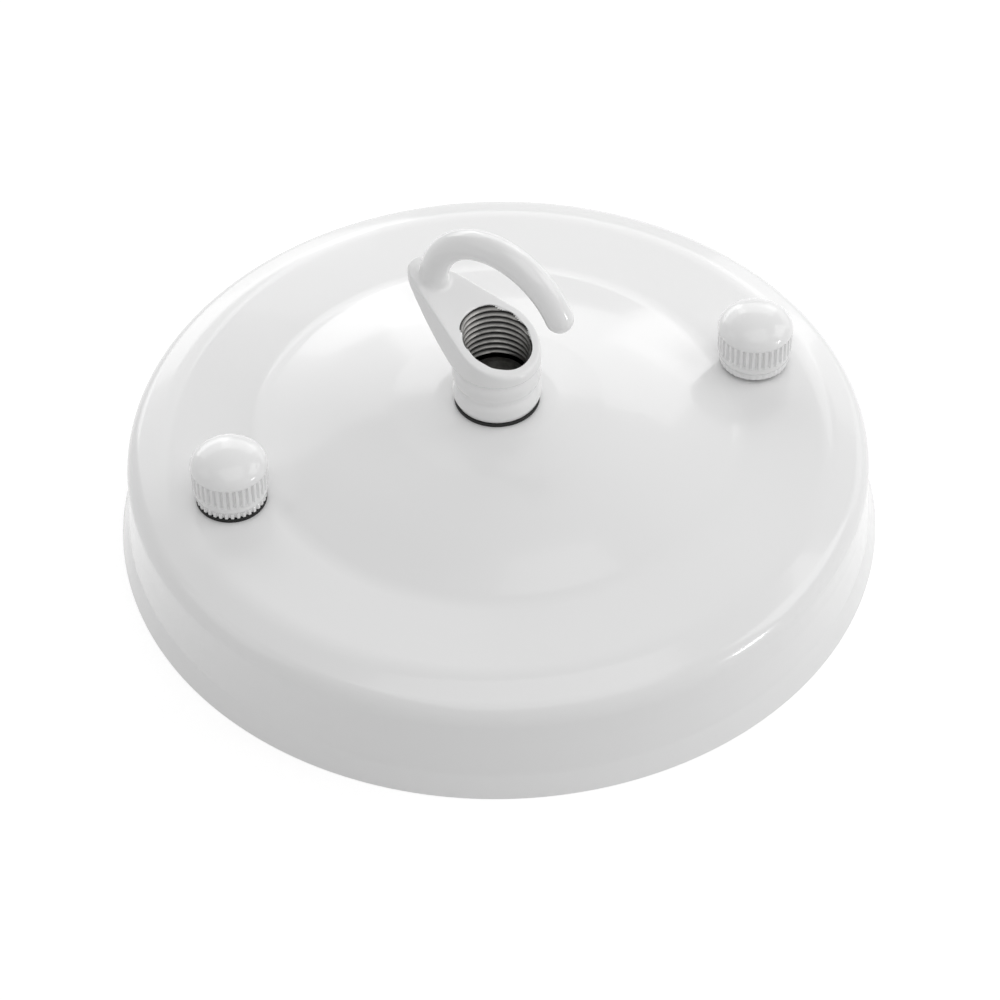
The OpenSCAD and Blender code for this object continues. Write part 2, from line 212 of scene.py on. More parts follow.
def stoved_enamel(tree, shader, place):
    """Sprayed and stoved enamel: a faint orange peel with waves about 1.5 mm long,
    and a gloss that varies a little where the spray lay thinner."""
    peel = add(tree, "ShaderNodeTexNoise", inputs={
        "Vector": place, "Scale": 1 / (1.5 * MM), "Detail": 1.5, "Roughness": 0.4})
    bump = add(tree, "ShaderNodeBump", inputs={
        "Height": peel.outputs["Fac"], "Strength": 0.05, "Distance": 0.05 * MM})
    cloud = add(tree, "ShaderNodeTexNoise", inputs={
        "Vector": place, "Scale": 1 / (18 * MM), "Detail": 2.0})
    gloss = add(tree, "ShaderNodeMapRange", inputs={
        "Value": cloud.outputs["Fac"], "To Min": 0.14, "To Max": 0.2})
    tree.links.new(bump.outputs["Normal"], shader.inputs["Normal"])
    tree.links.new(gloss.outputs["Result"], shader.inputs["Roughness"])


def zinc_plating(tree, shader, place):
    """Bright zinc plate: a fine rolled grain under the plating, with cloudy bluish patches."""
    stretch = add(tree, "ShaderNodeMapping", inputs={"Vector": place, "Scale": (60, 2400, 2400)})
    grain = add(tree, "ShaderNodeTexNoise", inputs={
        "Vector": stretch.outputs["Vector"], "Scale": 1.0, "Detail": 3.0})
    bump = add(tree, "ShaderNodeBump", inputs={
        "Height": grain.outputs["Fac"], "Strength": 0.12, "Distance": 0.03 * MM})
    cloud = add(tree, "ShaderNodeTexNoise", inputs={
        "Vector": place, "Scale": 1 / (5 * MM), "Detail": 3.0})
    tint = add(tree, "ShaderNodeMix", {"data_type": "RGBA"}, {
        "Factor": cloud.outputs["Fac"], 6: linear("#b9bfc6"), 7: linear("#d3d4d0")})
    rough = add(tree, "ShaderNodeMapRange", inputs={
        "Value": cloud.outputs["Fac"], "To Min": 0.24, "To Max": 0.4})
    tree.links.new(tint.outputs[2], shader.inputs["Base Color"])
    tree.links.new(bump.outputs["Normal"], shader.inputs["Normal"])
    tree.links.new(rough.outputs["Result"], shader.inputs["Roughness"])


def cut_steel(tree, shader, place):
    """Bare tapped metal with a random mottle. It darkens to near black towards the thread roots: painted
    shade of the deep turns, together with some oil.
    """
    cloud = add(tree, "ShaderNodeTexNoise", inputs={
        "Vector": place, "Scale": 1 / (0.9 * MM), "Detail": 4.0, "Roughness": 0.6})
    metal = add(tree, "ShaderNodeMix", {"data_type": "RGBA"}, {
        "Factor": cloud.outputs["Fac"], 6: linear("#6a6968"), 7: linear("#b4b3b0")})
    # Painted shade and oil: the colour darkens with the distance from the axis, so the roots of the
    # bore's thread turn near black.
    flat = add(tree, "ShaderNodeVectorMath", {"operation": "MULTIPLY"}, {0: place, 1: (1, 1, 0)})
    radius = add(tree, "ShaderNodeVectorMath", {"operation": "LENGTH"}, {0: flat.outputs[0]})
    depth = add(tree, "ShaderNodeMapRange", inputs={
        "Value": radius.outputs["Value"], "From Min": (THREAD_D / 2 - BORE_THREAD_DEPTH * 0.8) * MM,
        "From Max": (THREAD_D / 2 - BORE_THREAD_DEPTH * 0.2) * MM})
    tint = add(tree, "ShaderNodeMix", {"data_type": "RGBA"}, {
        "Factor": depth.outputs["Result"], 6: metal.outputs[2], 7: linear("#2b2a2a")})
    bump = add(tree, "ShaderNodeBump", inputs={
        "Height": cloud.outputs["Fac"], "Strength": 0.2, "Distance": 0.04 * MM})
    tree.links.new(tint.outputs[2], shader.inputs["Base Color"])
    tree.links.new(bump.outputs["Normal"], shader.inputs["Normal"])


def turned_brass(tree, shader, place):
    """Turned brass: slightly uneven tarnish, from dull ochre to bright yellow."""
    cloud = add(tree, "ShaderNodeTexNoise", inputs={
        "Vector": place, "Scale": 1 / (2 * MM), "Detail": 3.0})
    tint = add(tree, "ShaderNodeMix", {"data_type": "RGBA"}, {
        "Factor": cloud.outputs["Fac"], 6: linear("#c9a458"), 7: linear("#e2c57a")})
    tree.links.new(tint.outputs[2], shader.inputs["Base Color"])


def fibre(tree, shader, place):
    """Vulcanised fibre: matt black with a felt-like mottling of the pressed paper."""
    felt = add(tree, "ShaderNodeTexNoise", inputs={
        "Vector": place, "Scale": 1 / (0.25 * MM), "Detail": 4.0})
    bump = add(tree, "ShaderNodeBump", inputs={
        "Height": felt.outputs["Fac"], "Strength": 0.4, "Distance": 0.03 * MM})
    tree.links.new(bump.outputs["Normal"], shader.inputs["Normal"])


ENAMEL = finish_material("stoved_white_enamel", "#f2f2f2", 0.0, 0.17, stoved_enamel, coat=0.3)
CAST_ENAMEL = finish_material("white_enamel_on_casting", "#f2f2f2", 0.0, 0.2, stoved_enamel, coat=0.3)
ZINC = finish_material("bright_zinc_plate", "#c6c9cb", 1.0, 0.3, zinc_plating)
CUT_STEEL = finish_material("tapped_bare_steel", "#82807e", 1.0, 0.38, cut_steel)
BRASS = finish_material("turned_brass", "#d6b469", 1.0, 0.28, turned_brass)
FIBRE = finish_material("black_vulcanised_fibre", "#121212", 0.0, 0.75, fibre)


def mesh_object(name, points, faces, materials, sharp=40):
    """A mesh from points in millimetres, smooth but for edges sharper than the given angle."""
    mesh = bpy.data.meshes.new(name)
    mesh.from_pydata((np.asarray(points, float) * MM).tolist(), [], faces)
    made = bpy.data.objects.new(name, mesh)
    bpy.context.scene.collection.objects.link(made)
    for material in materials:
        mesh.materials.append(material)
    smooth(made, sharp)
    return made


def smooth(obj, sharp=40):
    obj.data.polygons.foreach_set("use_smooth", [True] * len(obj.data.polygons))
    obj.data.set_sharp_from_angle(angle=math.radians(sharp))


def applied(obj):
    """The object with its modifiers turned into a plain mesh."""
    graph = bpy.context.evaluated_depsgraph_get()
    mesh = bpy.data.meshes.new_from_object(obj.evaluated_get(graph))
    obj.modifiers.clear()
    old = obj.data
    obj.data = mesh
    bpy.data.meshes.remove(old)
    mesh.name = obj.name
    return obj


def modified(obj, kind, **settings):
    """One modifier with its settings, applied."""
    modifier = obj.modifiers.new(kind.lower(), kind)
    for key, value in settings.items():
        setattr(modifier, key, value)
    return applied(obj)


def cut_away(obj, *tools):
    """The object less the tools, which are deleted."""
    for tool in tools:
        modified(obj, "BOOLEAN", operation="DIFFERENCE", solver="EXACT", object=tool)
        bpy.data.objects.remove(tool)
    return obj


def bend(p, q, s, radius, step):
    """Points of the arc that rounds the corner q between p and s."""
    a, b = (p - q) / np.linalg.norm(p - q), (s - q) / np.linalg.norm(s - q)
    half = math.acos(float(np.clip(a @ b, -1, 1))) / 2
    if radius <= 0 or half > math.radians(89.9):
        return [q]
    turn = math.pi - 2 * half
    reach = min(radius * math.tan(turn / 2), 0.49 * min(np.linalg.norm(p - q), np.linalg.norm(s - q)))
    radius = reach / math.tan(turn / 2)
    middle = q + (a + b) / np.linalg.norm(a + b) * radius / math.sin(half)
    u = (q + a * reach - middle) / radius
    v = (q + b * reach - middle) / radius
    side = 1 if u[0] * v[1] - u[1] * v[0] > 0 else -1
    count = max(2, math.ceil(math.degrees(turn) / step))
    turns = [side * turn * i / count for i in range(count + 1)]
    return [middle + radius * np.array([u[0] * math.cos(t) - u[1] * math.sin(t),
                                        u[0] * math.sin(t) + u[1] * math.cos(t)]) for t in turns]


def rounded(corners, step):
    """A path of (x, y, radius) corners with every inner corner rounded."""
    flat = [np.array(c[:2], float) for c in corners]
    path = [flat[0]]
    for before, corner, after, (_, _, radius) in zip(flat, flat[1:], flat[2:], corners[1:]):
        path += bend(before, corner, after, radius, step)
    return np.array(path + [flat[-1]])


def beside(path, distance):
    """The path moved to its right by a distance."""
    ahead = np.vstack([path[1:], path[-1:]])
    behind = np.vstack([path[:1], path[:-1]])
    along = ahead - behind
    along /= np.linalg.norm(along, axis=1)[:, None]
    return path + distance * np.c_[along[:, 1], -along[:, 0]]


def lathe(name, profile, materials, segments, centre_x=0.0, closed=False, sharp=40):
    """A turned form from an outline of (radius, height). An end on the axis becomes one point."""
    turns = np.arange(segments) * 2 * math.pi / segments
    points, rings = [], []
    for radius, height in profile:
        if radius < 1e-6:
            rings.append([len(points)] * segments)
            points.append((centre_x, 0, height))
        else:
            rings.append(list(range(len(points), len(points) + segments)))
            points += [(centre_x + radius * math.cos(t), radius * math.sin(t), height) for t in turns]
    pairs = list(zip(rings, rings[1:])) + ([(rings[-1], rings[0])] if closed else [])
    faces = []
    for low, high in pairs:
        for i in range(segments):
            j = (i + 1) % segments
            face = [low[i], low[j], high[j], high[i]]
            faces.append([v for k, v in enumerate(face) if v not in face[:k]])
    return mesh_object(name, points, faces, materials, sharp)


def outward(obj):
    """Normals turned to the outside of a closed form."""
    form = bmesh.new()
    form.from_mesh(obj.data)
    bmesh.ops.remove_doubles(form, verts=form.verts, dist=1e-7)
    bmesh.ops.recalc_face_normals(form, faces=form.faces)
    form.to_mesh(obj.data)
    form.free()
    return obj


def make_cover():
    """The pressed cover: one outline spun round the axis, with a soft cut edge at the rim."""
    outside = rounded([
        (CENTRE_HOLE_R, SEAT_Z, 0),
        (SEAT_R, SEAT_Z, 8),
        (RING_R, SEAT_Z - RING_DROP, 8),
        (DOME_R, SEAT_Z - DOME_DROP, DOME_BEND),
        (FOLD_R, BAND_H, 9),
        (SLOPE_R, BAND_H, 8.5),
        (SHOULDER_R, SHOULDER_H, 3.3),
        (WALL_R, WALL_H, 20),
        (FLARE_R, FLARE_H, 3),
        (RIM_R, 0, 0)], COVER_STEP)
    inside = beside(outside, SHEET)[::-1]
    inside = inside[inside[:, 1] > RIM_INSIDE_H]
    lean = (outside[-1] - outside[-2]) / np.linalg.norm(outside[-1] - outside[-2])
    foot = RIM_R + SHEET / lean[1]
    edge = rounded([(*outside[-2], 0), (RIM_R, 0, RIM_EDGE),
                    (foot, 0, RIM_EDGE), (*inside[0], 0)], 22)
    profile = np.vstack([outside[:-2], edge, inside[1:]])
    cover = outward(lathe("enamelled_cover", profile, [ENAMEL], COVER_SEGMENTS, closed=True))
    tools = []
    for side in (-1, 1):
        low, high = BAND_H - 2, BAND_H + 1
        rod = [(0, low), (STUD_HOLE_R, low), (STUD_HOLE_R, high), (0, high)]
        tools.append(outward(lathe("stud_hole", rod, [ENAMEL], 48, side * STUD_X)))
    cut_away(cover, *tools)
    smooth(cover, 35)
    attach(cover, "canopy")
    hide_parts("canopy_cover")


def mouth_at(s):
    """Height of the slanted mouth at a distance s from the axis towards the tongue."""
    return MOUTH_Z + s * math.tan(MOUTH_SLOPE)


def turned_to_hook(points):
    """Points given as (towards the tongue, across, up) in the part's own frame."""
    c, s = math.cos(math.radians(HOOK_TURN)), math.sin(math.radians(HOOK_TURN))
    p = np.asarray(points, float)
    return np.c_[p[:, 0] * c - p[:, 1] * s, p[:, 0] * s + p[:, 1] * c, p[:, 2]]


def loft(name, rings, materials):
    """Skin over a stack of rings with equal numbers of points, closed at both ends."""
    count = len(rings[0])
    faces = [list(range(count))[::-1], [(len(rings) - 1) * count + i for i in range(count)]]
    for k in range(len(rings) - 1):
        for i in range(count):
            j = (i + 1) % count
            faces.append([k * count + i, k * count + j, (k + 1) * count + j, (k + 1) * count + i])
    points = turned_to_hook(np.vstack(rings))
    return outward(mesh_object(name, points, faces, materials))


def tongue_ring(lift, grow, inset, drop, sides=120):
    """One ring round boss and tongue: lift runs from the throat to the mouth, grow from round to full."""
    throat = HOOK_Z + BOSS_H
    tip_r = BOSS_R + (TONGUE_R - BOSS_R) * grow
    tip_s = (TONGUE_L - TONGUE_R) * grow
    ring = []
    for i in range(sides):
        a = 2 * math.pi * (i + 0.5) / sides
        on_tip = grow > 0 and math.cos(a) > (BOSS_R - tip_r) / max(tip_s, 0.001)
        r = (tip_r if on_tip else BOSS_R) - inset
        s = (tip_s if on_tip else 0) + r * math.cos(a)
        ring.append((s, r * math.sin(a), throat + (mouth_at(s) - drop - throat) * lift))
    return ring


def boss_and_tongue():
    """Round boss with two soft bands, which grows into the tongue and ends in the slanted mouth."""
    rings = []
    for k in range(BOSS_RINGS + 1):
        inset = GROOVE_DEPTH * math.cos(math.pi * 2 * k / BOSS_RINGS) ** 4
        height = HOOK_Z + BOSS_H * k / BOSS_RINGS
        rings.append([(s, t, height) for s, t, _ in tongue_ring(0, 0, inset, 0)])
    for u in np.linspace(0.07, TONGUE_FULL, 12):
        rings.append(tongue_ring(u, u / TONGUE_FULL, 0, MOUTH_EDGE))
    rings.append(tongue_ring(1, 1, 0, MOUTH_EDGE))
    for turn in (30, 60, 90):
        t = math.radians(turn)
        rings.append(tongue_ring(1, 1, MOUTH_EDGE * (1 - math.cos(t)),
                                 MOUTH_EDGE * (1 - math.sin(t))))
    return loft("boss_and_tongue", rings, [CAST_ENAMEL])


def bar_r(turn):
    """Radius of the bar at a turn along the bow, in degrees."""
    if turn < BAR_TOP_TURN:
        share = (1 - math.cos(math.pi * turn / BAR_TOP_TURN)) / 2
        return (BAR_ROOT_D + (BAR_TOP_D - BAR_ROOT_D) * share) / 2
    share = (1 - math.cos(math.pi * (turn - BAR_TOP_TURN) / (BOW_SWEEP - BAR_TOP_TURN))) / 2
    return (BAR_TOP_D + (BAR_TIP_D - BAR_TOP_D) * share) / 2


def bar_ring(turn, radius, on, sides=40):
    """One ring round the bar at a turn along the bow, moved on along the bar's own direction."""
    t = math.radians(turn)
    ring = []
    for i in range(sides):
        a = 2 * math.pi * i / sides
        reach = BOW_R + radius * math.cos(a)
        ring.append((-BOW_BACK + reach * math.cos(t) - on * math.sin(t), radius * math.sin(a),
                     BOW_Z + reach * math.sin(t) + on * math.cos(t)))
    return ring


def bow():
    """The bent bar: thickest at its top, thinner to a round tip."""
    tip = BAR_TIP_D / 2
    rings = [bar_ring(-3, BAR_ROOT_D * 0.38, 0)]
    rings += [bar_ring(turn, bar_r(turn), 0) for turn in np.arange(4, BOW_SWEEP - 1, 2.5)]
    rings += [bar_ring(BOW_SWEEP, tip * math.cos(math.radians(a)), tip * math.sin(math.radians(a)))
              for a in range(0, 89, 11)]
    return loft("bow", rings, [CAST_ENAMEL])


def rows(radius, low, high, step):
    """Points up a straight wall, close enough together to carry a thread or a knurl."""
    count = max(1, round((high - low) / step))
    return [(radius, low + (high - low) * i / count) for i in range(count + 1)]


def mouth_bore():
    """Tool for the tapped bore. Its thread runs out through the slanted mouth."""
    top = mouth_at(TONGUE_L)
    wall = rows(THREAD_D / 2, HOOK_Z - 1, top, THREAD_PITCH / 12)
    tool = outward(lathe("bore_tool", [(0, HOOK_Z - 1)] + wall + [(0, top)], [CUT_STEEL], 96))
    slope = turned_to_hook([(math.tan(MOUTH_SLOPE), 0, 0)])[0]
    return grown(tool, THREAD, Axis=0.0, Pitch=THREAD_PITCH * MM, Depth=BORE_THREAD_DEPTH * MM,
                 Lower=NIPPLE_TOP * MM, Upper=(MOUTH_Z + 0.2) * MM, Slope=tuple(slope), Fade=0.8 * MM,
                 Material=CUT_STEEL)


def make_hook():
    """The casting: boss, tongue and bow flow into one skin, then the bore is cut."""
    body, bar = boss_and_tongue(), bow()
    modified(body, "BOOLEAN", operation="UNION", solver="EXACT", object=bar)
    bpy.data.objects.remove(bar)
    modified(body, "REMESH", mode="VOXEL", voxel_size=HOOK_VOXEL * MM)
    foot = BOW_R - BOW_BACK
    root = turned_to_hook([(foot, 0, mouth_at(foot))])[0] * MM
    blend = body.vertex_groups.new(name="root")
    for vertex in body.data.vertices:
        weight = 1 - (vertex.co - Vector(root)).length / (ROOT_BLEND_R * MM)
        if weight > 0:
            blend.add([vertex.index], min(1, 2 * weight), "REPLACE")
    modified(body, "SMOOTH", factor=0.6, iterations=60, vertex_group="root")
    modified(body, "SMOOTH", factor=0.5, iterations=6)
    cut_away(body, mouth_bore())
    mesh = body.data
    mesh.materials.clear()
    mesh.materials.append(CAST_ENAMEL)
    mesh.materials.append(CUT_STEEL)
    across = Vector(turned_to_hook([(1, 0, 0)])[0])
    for face in mesh.polygons:
        middle = face.center / MM
        below = mouth_at(middle.dot(across)) - middle.z
        in_bore = math.hypot(middle.x, middle.y) < THREAD_D / 2 + 0.02
        face.material_index = 1 if in_bore and below > ENAMEL_LIP else 0
    body.name = "cast_hook"
    smooth(body, 50)
    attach(body, "canopy")
    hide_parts("cable_hook")


COMMON = [("Geometry", "Geometry"), ("Axis", "Float"), ("Depth", "Float"), ("Lower", "Float"),
          ("Upper", "Float"), ("Slope", "Vector"), ("Fade", "Float"), ("Material", "Material")]


def math_node(tree, operation, *values):
    return add(tree, "ShaderNodeMath", {"operation": operation}, dict(enumerate(values))).outputs[0]


def carved_tree(name, extra, pattern):
    """Moves the points of a round wall towards its axis by a pattern, between two heights that
    may slope. The pattern gets the tree, its inputs, the turn round the axis and the height."""
    tree = bpy.data.node_groups.new(name, "GeometryNodeTree")
    for label, kind in COMMON + extra:
        tree.interface.new_socket(label, in_out="INPUT", socket_type="NodeSocket" + kind)
    tree.interface.new_socket("Geometry", in_out="OUTPUT", socket_type="NodeSocketGeometry")
    group = tree.nodes.new("NodeGroupInput").outputs
    place = add(tree, "GeometryNodeInputPosition").outputs[0]
    part = add(tree, "ShaderNodeSeparateXYZ", inputs={0: place}).outputs
    across = math_node(tree, "SUBTRACT", part["X"], group["Axis"])
    turn = math_node(tree, "ARCTAN2", part["Y"], across)
    share = pattern(tree, group, turn, part["Z"])
    rise = add(tree, "ShaderNodeVectorMath", {"operation": "DOT_PRODUCT"}, {
        0: place, 1: group["Slope"]}).outputs["Value"]
    level = {"Lower": part["Z"], "Upper": math_node(tree, "SUBTRACT", part["Z"], rise)}
    for limit, operation in (("Lower", "ADD"), ("Upper", "SUBTRACT")):
        full = math_node(tree, operation, group[limit], group["Fade"])
        window = add(tree, "ShaderNodeMapRange", {"interpolation_type": "SMOOTHSTEP"}, {
            "Value": level[limit], "From Min": group[limit], "From Max": full}).outputs["Result"]
        share = math_node(tree, "MULTIPLY", share, window)
    inward = math_node(tree, "MULTIPLY", math_node(tree, "MULTIPLY", share, group["Depth"]), -1.0)
    flat = add(tree, "ShaderNodeCombineXYZ", inputs={"X": across, "Y": part["Y"]}).outputs[0]
    radial = add(tree, "ShaderNodeVectorMath", {"operation": "NORMALIZE"}, {0: flat}).outputs[0]
    offset = add(tree, "ShaderNodeVectorMath", {"operation": "SCALE"}, {
        0: radial, "Scale": inward}).outputs[0]
    moved = add(tree, "GeometryNodeSetPosition", inputs={
        "Geometry": group["Geometry"], "Offset": offset})
    real = add(tree, "GeometryNodeRealizeInstances", inputs={"Geometry": moved.outputs["Geometry"]})
    painted = add(tree, "GeometryNodeSetMaterial", inputs={
        "Geometry": real.outputs["Geometry"], "Material": group["Material"]})
    add(tree, "NodeGroupOutput", inputs={"Geometry": painted.outputs["Geometry"]})
    return tree


def knurl_pattern(tree, group, turn, height):
    """Narrow upright grooves between broad ribs."""
    wave = math_node(tree, "COSINE", math_node(tree, "MULTIPLY", turn, group["Ribs"]))
    return add(tree, "ShaderNodeMapRange", {"interpolation_type": "SMOOTHSTEP"}, {
        "Value": wave, "From Min": -0.1, "From Max": 0.7}).outputs["Result"]


def thread_pattern(tree, group, turn, height):
    """A V-shaped groove that climbs one pitch a turn, with narrow flats at crest and root."""
    climb = math_node(tree, "DIVIDE", height, group["Pitch"])
    phase = math_node(tree, "SUBTRACT", climb, math_node(tree, "DIVIDE", turn, 2 * math.pi))
    wave = math_node(tree, "PINGPONG", phase, 0.5)
    return add(tree, "ShaderNodeMapRange", inputs={
        "Value": wave, "From Min": 0.06, "From Max": 0.44}).outputs["Result"]


KNURL = carved_tree("knurl", [("Ribs", "Float")], knurl_pattern)
THREAD = carved_tree("thread", [("Pitch", "Float")], thread_pattern)


def grown(obj, tree, **sizes):
    """The object after a geometry node tree with the given inputs, as a plain mesh."""
    modifier = obj.modifiers.new(tree.name, "NODES")
    modifier.node_group = tree
    for item in tree.interface.items_tree:
        if item.in_out == "INPUT" and item.name in sizes:
            modifier[item.identifier] = sizes[item.name]
    return applied(obj)


def placed(piece, body, slot, *nodes, sharp=35):
    """A finished piece rides on its body and stands for its nodes."""
    smooth(piece, sharp)
    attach(piece, body)
    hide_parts(*nodes)


def make_thumb_nut(side, body, node, teeth):
    """Domed nut: toothed foot ring, smooth ring, knurled band, then the round cap."""
    band_top = KNURL_Z + KNURL_H
    rib_r = KNURL_R - 0.08
    neck_r = rib_r - KNURL_DEPTH / 2
    outline = [(0, NUT_HOLE_DEPTH), (NUT_HOLE_R, NUT_HOLE_DEPTH)]
    outline += [(NUT_HOLE_R, 0.3), (NUT_HOLE_R + 0.3, 0)]
    outline += [(FOOT_R - 0.3, 0), (FOOT_R - 0.1, 0.06)] + rows(FOOT_R, 0.15, FOOT_H - 0.2, 0.1)
    outline += [(FOOT_R - 0.06, FOOT_H - 0.08), (FOOT_R - 0.2, FOOT_H)]
    outline += [(neck_r - 0.12, FOOT_H + 0.1), (neck_r, FOOT_H + 0.25)]
    outline += [(neck_r + 0.05, (FOOT_H + KNURL_Z) / 2), (neck_r, KNURL_Z - 0.3)]
    outline += [(neck_r - 0.1, KNURL_Z - 0.15), (rib_r - 0.12, KNURL_Z - 0.06)]
    outline += rows(rib_r, KNURL_Z, band_top, 0.12)
    cap_z = band_top + 0.1
    outline += [(KNURL_R * math.cos(math.radians(a)),
                 cap_z + (NUT_H - cap_z) * math.sin(math.radians(a))) for a in range(0, 90, 3)]
    outline.append((0, NUT_H))
    nut = lathe("thumb_nut", [(r, NUT_Z + z) for r, z in outline], [CAST_ENAMEL],
                10 * KNURL_RIBS, side * STUD_X)
    outward(nut)
    axis = side * STUD_X * MM
    grown(nut, KNURL, Axis=axis, Ribs=float(KNURL_RIBS), Depth=KNURL_DEPTH * MM, Fade=0.25 * MM,
          Lower=(NUT_Z + KNURL_Z - 0.1) * MM, Upper=(NUT_Z + band_top) * MM, Material=CAST_ENAMEL)
    grown(nut, KNURL, Axis=axis, Ribs=float(KNURL_RIBS), Depth=teeth * MM, Fade=0.12 * MM,
          Lower=(NUT_Z - 0.15) * MM, Upper=(NUT_Z + FOOT_H) * MM, Material=CAST_ENAMEL)
    nut.name = node + "_cap"
    placed(nut, body, "white_enamel_casting", node, sharp=50)


def make_wide_washer(node, x):
    """Fibre washer widened from the CAD's size to the nut's foot. The washer is real, and its black edge
    beyond the CAD's width is painted shade of the gap under the nut.
    """
    edge = 0.05
    ring = [(STUD_R + 0.1, BAND_H), (WASHER_SHADE_EDGE_R - edge, BAND_H), (WASHER_SHADE_EDGE_R, BAND_H + edge),
            (WASHER_SHADE_EDGE_R, NUT_Z - edge), (WASHER_SHADE_EDGE_R - edge, NUT_Z), (STUD_R + 0.1, NUT_Z)]
    washer = outward(lathe(node + "_wide", ring, [FIBRE], 96, x, closed=True))
    placed(washer, "canopy", "black_fibre", node)


def make_screw(node, radius, pitch, length, head_r, head_h, x, z, up, material, slot):
    """Pan head screw: head turned with a soft edge, rolled thread, and a cross recess."""
    edge = head_h / 3
    outline = [(0, -head_h)]
    outline += [(head_r - edge + edge * math.sin(math.radians(a)),
                 -head_h + edge * (1 - math.cos(math.radians(a)))) for a in range(0, 91, 15)]
    outline += [(head_r - 0.1, 0), (radius, 0)] + rows(radius, 0.2, length - radius / 5, pitch / 8)
    outline += [(radius * 0.8, length), (0, length)]
    placed_outline = [(r, z + up * h) for r, h in outline]
    screw = outward(lathe(node + "_turned", placed_outline, [material], 72, x))
    low, high = sorted((z + up * 0.5, z + up * length))
    grown(screw, THREAD, Axis=x * MM, Pitch=pitch * MM, Depth=pitch * 0.5 * MM,
          Lower=low * MM, Upper=(high + 0.2) * MM, Fade=0.4 * MM, Material=material)
    for turn in (0, 90):
        cut_away(screw, recess_tool(head_r, x, z - up * head_h, up * head_h / 2, turn, material))
    placed(screw, "canopy", slot, node)


def recess_tool(head_r, x, z, depth, turn, material):
    """One slot of a cross recess, narrower at its bottom than at its mouth."""
    corners = []
    for reach, half, level in ((1.0, 1.0, z - depth * 0.2), (0.8, 0.75, z + depth)):
        along, across = head_r / 2 * reach, head_r / 8 * half
        for i, j in ((-1, -1), (1, -1), (1, 1), (-1, 1)):
            u, v = i * along, j * across
            corners.append((x + (u if turn == 0 else -v), v if turn == 0 else u, level))
    faces = [(0, 1, 2, 3), (4, 5, 6, 7), (0, 1, 5, 4), (1, 2, 6, 5), (2, 3, 7, 6), (3, 0, 4, 7)]
    return outward(mesh_object("recess_tool", corners, faces, [material]))


def make_nipple():
    """Hollow nipple with its thread cut from end to end."""
    crest = THREAD_R - 0.03
    outline = [(NIPPLE_BORE_R, NIPPLE_Z), (crest - 0.3, NIPPLE_Z)]
    outline += rows(crest, NIPPLE_Z + 0.3, NIPPLE_TOP - 0.3, THREAD_PITCH / 10)
    outline += [(crest - 0.3, NIPPLE_TOP), (NIPPLE_BORE_R, NIPPLE_TOP)]
    nipple = outward(lathe("threaded_nipple", outline, [CUT_STEEL], 96, closed=True))
    grown(nipple, THREAD, Axis=0.0, Pitch=THREAD_PITCH * MM, Depth=0.45 * MM, Lower=NIPPLE_Z * MM,
          Upper=NIPPLE_TOP * MM, Fade=0.3 * MM, Material=CUT_STEEL)
    placed(nipple, "canopy", "bare_steel", "hook_nipple")


def soften(node, width, material, slot):
    """A stamped or machined part, with its sharp edges broken as tumbling leaves them."""
    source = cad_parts[node]
    piece = bpy.data.objects.new(node + "_edged", source.data.copy())
    bpy.context.scene.collection.objects.link(piece)
    piece.data.materials.clear()
    piece.data.materials.append(material)
    form = bmesh.new()
    form.from_mesh(piece.data)
    bmesh.ops.remove_doubles(form, verts=form.verts, dist=1e-6)
    bmesh.ops.dissolve_limit(form, angle_limit=math.radians(0.5), verts=form.verts, edges=form.edges)
    form.to_mesh(piece.data)
    form.free()
    for face in piece.data.polygons:
        face.material_index = 0
    modified(piece, "BEVEL", width=width * MM, segments=2, limit_method="ANGLE",
             angle_limit=math.radians(40))
    placed(piece, "canopy", slot, node)


def make_camera():
    """The camera stands where the photograph was taken; a small aim offset puts the rim's centre
    at its own pixel."""
    e, roll = math.radians(CAMERA_ELEVATION), math.radians(CAMERA_ROLL)
    ahead = Vector((0, math.cos(e), -math.sin(e)))
    right = Vector((1, 0, 0))
    down = ahead.cross(right)
    level = Matrix((math.cos(roll) * right + math.sin(roll) * down,
                    -math.sin(roll) * right + math.cos(roll) * down, ahead))
    middle = IMAGE_PIXELS / 2
    aim_x, aim_y = [(pixel - middle) / FOCAL_PIXELS for pixel in RIM_CENTRE_PIXEL]
    aim = Vector((aim_x, aim_y, 1))
    sight = Vector((0, 0, 1)).rotation_difference(aim).to_matrix() @ level
    turn = Matrix.Rotation(math.radians(CAMERA_AZIMUTH), 3, "Z")
    axes = turn @ Matrix((sight[0], -sight[1], -sight[2])).transposed()
    data = bpy.data.cameras.new("camera")
    data.sensor_width = SENSOR_WIDTH
    data.lens = FOCAL_PIXELS * SENSOR_WIDTH / IMAGE_PIXELS
    data.clip_start = 0.01
    camera = bpy.data.objects.new("camera", data)
    camera.matrix_world = Matrix.Translation(turn @ (-ahead * CAMERA_DISTANCE * MM)) @ axes.to_4x4()
    bpy.context.scene.collection.objects.link(camera)
    bpy.context.scene.camera = camera


def make_light(name, azimuth, elevation, distance, width, height, power):
    """A soft box that faces the object. Azimuth is seen from the camera: 0 behind it, 90 to its right."""
    a = math.radians(azimuth + CAMERA_AZIMUTH)
    e = math.radians(elevation)
    away = Vector((math.sin(a) * math.cos(e), -math.cos(a) * math.cos(e), math.sin(e)))
    data = bpy.data.lights.new(name, "AREA")
    data.shape = "RECTANGLE"
    data.size = width
    data.size_y = height
    data.energy = power
    lamp = bpy.data.objects.new(name, data)
    lamp.location = away * distance
    lamp.rotation_euler = away.to_track_quat("Z", "Y").to_euler()
    bpy.context.scene.collection.objects.link(lamp)


def seen_directly(tree):
    """1 for camera, glossy and transmission rays, else 0."""
    path = add(tree, "ShaderNodeLightPath").outputs
    return math_node(tree, "MAXIMUM", path["Is Camera Ray"],
                     math_node(tree, "MAXIMUM", path["Is Glossy Ray"], path["Is Transmission Ray"]))


